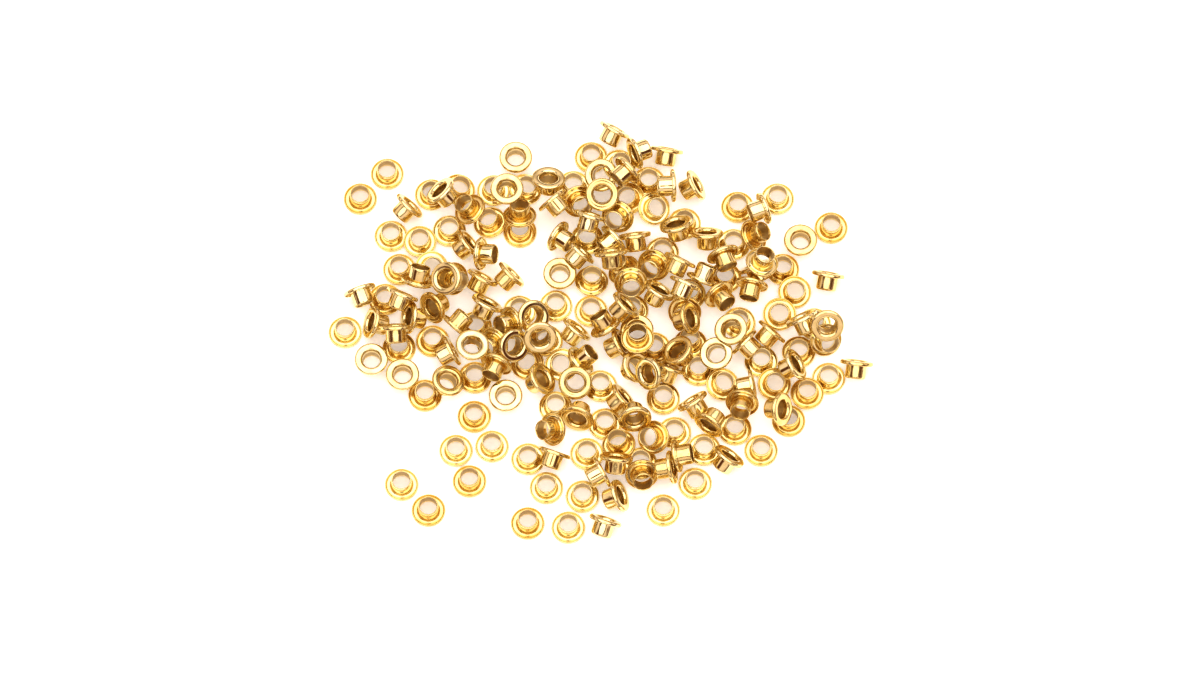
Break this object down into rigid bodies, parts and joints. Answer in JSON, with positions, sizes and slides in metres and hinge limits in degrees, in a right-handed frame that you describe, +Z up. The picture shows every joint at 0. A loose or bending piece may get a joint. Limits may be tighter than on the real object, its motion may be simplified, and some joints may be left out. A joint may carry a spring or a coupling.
{
  "type": "heap of eyelets",
  "caption": "Loose heap of small brass eyelets, straight barrels with a rolled flange, lying at all angles on a flat surface.",
  "frame": {"origin": "middle of the heap's footprint, on the surface that the eyelets lie on", "axes": "+Z up from that surface; +X along the heap's longer side; +Y towards its back edge"},
  "size_m": [0.1214, 0.0998, 0.0099],
  "materials": {
    "polished_brass": "bright polished brass plate, very glossy, pale yellow gold"
  },
  "bodies": {
    "heap": {"heap_flange_down_01": "polished_brass", "heap_flange_down_02": "polished_brass", "heap_flange_down_03": "polished_brass", "heap_flange_down_04": "polished_brass", "heap_flange_down_05": "polished_brass", "heap_flange_down_06": "polished_brass", "heap_flange_down_07": "polished_brass", "heap_flange_down_08": "polished_brass", "heap_flange_down_09": "polished_brass", "heap_flange_down_10": "polished_brass", "heap_flange_down_11": "polished_brass", "heap_flange_down_12": "polished_brass", "heap_flange_down_13": "polished_brass", "heap_flange_down_14": "polished_brass", "heap_flange_down_15": "polished_brass", "heap_flange_down_16": "polished_brass", "heap_flange_down_17": "polished_brass", "heap_flange_down_18": "polished_brass", "heap_flange_down_19": "polished_brass", "heap_flange_down_20": "polished_brass", "heap_flange_down_21": "polished_brass", "heap_flange_down_22": "polished_brass", "heap_flange_down_23": "polished_brass", "heap_flange_down_24": "polished_brass", "heap_flange_down_25": "polished_brass", "heap_flange_down_26": "polished_brass", "heap_flange_down_27": "polished_brass", "heap_flange_down_28": "polished_brass", "heap_flange_down_29": "polished_brass", "heap_flange_down_30": "polished_brass", "heap_flange_up_01": "polished_brass", "heap_flange_up_02": "polished_brass", "heap_on_side_01": "polished_brass", "heap_on_side_02": "polished_brass", "heap_on_side_03": "polished_brass", "heap_leaning_back_01": "polished_brass", "heap_leaning_over_01": "polished_brass", "heap_leaning_over_02": "polished_brass"},
    "loose_flange_down_01": {"loose_flange_down_01": "polished_brass"},
    "loose_flange_down_02": {"loose_flange_down_02": "polished_brass"},
    "loose_flange_down_03": {"loose_flange_down_03": "polished_brass"},
    "loose_flange_down_04": {"loose_flange_down_04": "polished_brass"},
    "loose_flange_down_05": {"loose_flange_down_05": "polished_brass"},
    "loose_flange_down_06": {"loose_flange_down_06": "polished_brass"},
    "loose_flange_down_07": {"loose_flange_down_07": "polished_brass"},
    "loose_flange_down_08": {"loose_flange_down_08": "polished_brass"},
    "loose_flange_down_09": {"loose_flange_down_09": "polished_brass"},
    "loose_flange_down_10": {"loose_flange_down_10": "polished_brass"},
    "loose_flange_down_11": {"loose_flange_down_11": "polished_brass"},
    "loose_flange_down_12": {"loose_flange_down_12": "polished_brass"},
    "loose_flange_up_01": {"loose_flange_up_01": "polished_brass"},
    "loose_flange_up_02": {"loose_flange_up_02": "polished_brass"},
    "loose_flange_up_03": {"loose_flange_up_03": "polished_brass"},
    "loose_on_side_01": {"loose_on_side_01": "polished_brass"},
    "loose_on_side_02": {"loose_on_side_02": "polished_brass"},
    "loose_on_side_03": {"loose_on_side_03": "polished_brass"},
    "loose_on_side_04": {"loose_on_side_04": "polished_brass"},
    "loose_on_side_05": {"loose_on_side_05": "polished_brass"},
    "loose_on_side_06": {"loose_on_side_06": "polished_brass"},
    "loose_on_side_07": {"loose_on_side_07": "polished_brass"}
  },
  "joints": [
    {"name": "lift_loose_flange_down_01", "type": "slide", "parent": "heap", "child": "loose_flange_down_01", "axis": [0, 0, 1], "range_m": [0, 0.015]},
    {"name": "lift_loose_flange_down_02", "type": "slide", "parent": "heap", "child": "loose_flange_down_02", "axis": [0, 0, 1], "range_m": [0, 0.015]},
    {"name": "lift_loose_flange_down_03", "type": "slide", "parent": "heap", "child": "loose_flange_down_03", "axis": [0, 0, 1], "range_m": [0, 0.015]},
    {"name": "lift_loose_flange_down_04", "type": "slide", "parent": "heap", "child": "loose_flange_down_04", "axis": [0, 0, 1], "range_m": [0, 0.015]},
    {"name": "lift_loose_flange_down_05", "type": "slide", "parent": "heap", "child": "loose_flange_down_05", "axis": [0, 0, 1], "range_m": [0, 0.015]},
    {"name": "lift_loose_flange_down_06", "type": "slide", "parent": "heap", "child": "loose_flange_down_06", "axis": [0, 0, 1], "range_m": [0, 0.015]},
    {"name": "lift_loose_flange_down_07", "type": "slide", "parent": "heap", "child": "loose_flange_down_07", "axis": [0, 0, 1], "range_m": [0, 0.015]},
    {"name": "lift_loose_flange_down_08", "type": "slide", "parent": "heap", "child": "loose_flange_down_08", "axis": [0, 0, 1], "range_m": [0, 0.015]},
    {"name": "lift_loose_flange_down_09", "type": "slide", "parent": "heap", "child": "loose_flange_down_09", "axis": [0, 0, 1], "range_m": [0, 0.015]},
    {"name": "lift_loose_flange_down_10", "type": "slide", "parent": "heap", "child": "loose_flange_down_10", "axis": [0, 0, 1], "range_m": [0, 0.015]},
    {"name": "lift_loose_flange_down_11", "type": "slide", "parent": "heap", "child": "loose_flange_down_11", "axis": [0, 0, 1], "range_m": [0, 0.015]},
    {"name": "lift_loose_flange_down_12", "type": "slide", "parent": "heap", "child": "loose_flange_down_12", "axis": [0, 0, 1], "range_m": [0, 0.015]},
    {"name": "lift_loose_flange_up_01", "type": "slide", "parent": "heap", "child": "loose_flange_up_01", "axis": [0, 0, 1], "range_m": [0, 0.015]},
    {"name": "lift_loose_flange_up_02", "type": "slide", "parent": "heap", "child": "loose_flange_up_02", "axis": [0, 0, 1], "range_m": [0, 0.015]},
    {"name": "lift_loose_flange_up_03", "type": "slide", "parent": "heap", "child": "loose_flange_up_03", "axis": [0, 0, 1], "range_m": [0, 0.015]},
    {"name": "lift_loose_on_side_01", "type": "slide", "parent": "heap", "child": "loose_on_side_01", "axis": [0, 0, 1], "range_m": [0, 0.015]},
    {"name": "lift_loose_on_side_02", "type": "slide", "parent": "heap", "child": "loose_on_side_02", "axis": [0, 0, 1], "range_m": [0, 0.015]},
    {"name": "lift_loose_on_side_03", "type": "slide", "parent": "heap", "child": "loose_on_side_03", "axis": [0, 0, 1], "range_m": [0, 0.015]},
    {"name": "lift_loose_on_side_04", "type": "slide", "parent": "heap", "child": "loose_on_side_04", "axis": [0, 0, 1], "range_m": [0, 0.015]},
    {"name": "lift_loose_on_side_05", "type": "slide", "parent": "heap", "child": "loose_on_side_05", "axis": [0, 0, 1], "range_m": [0, 0.015]},
    {"name": "lift_loose_on_side_06", "type": "slide", "parent": "heap", "child": "loose_on_side_06", "axis": [0, 0, 1], "range_m": [0, 0.015]},
    {"name": "lift_loose_on_side_07", "type": "slide", "parent": "heap", "child": "loose_on_side_07", "axis": [0, 0, 1], "range_m": [0, 0.015]}
  ]
}
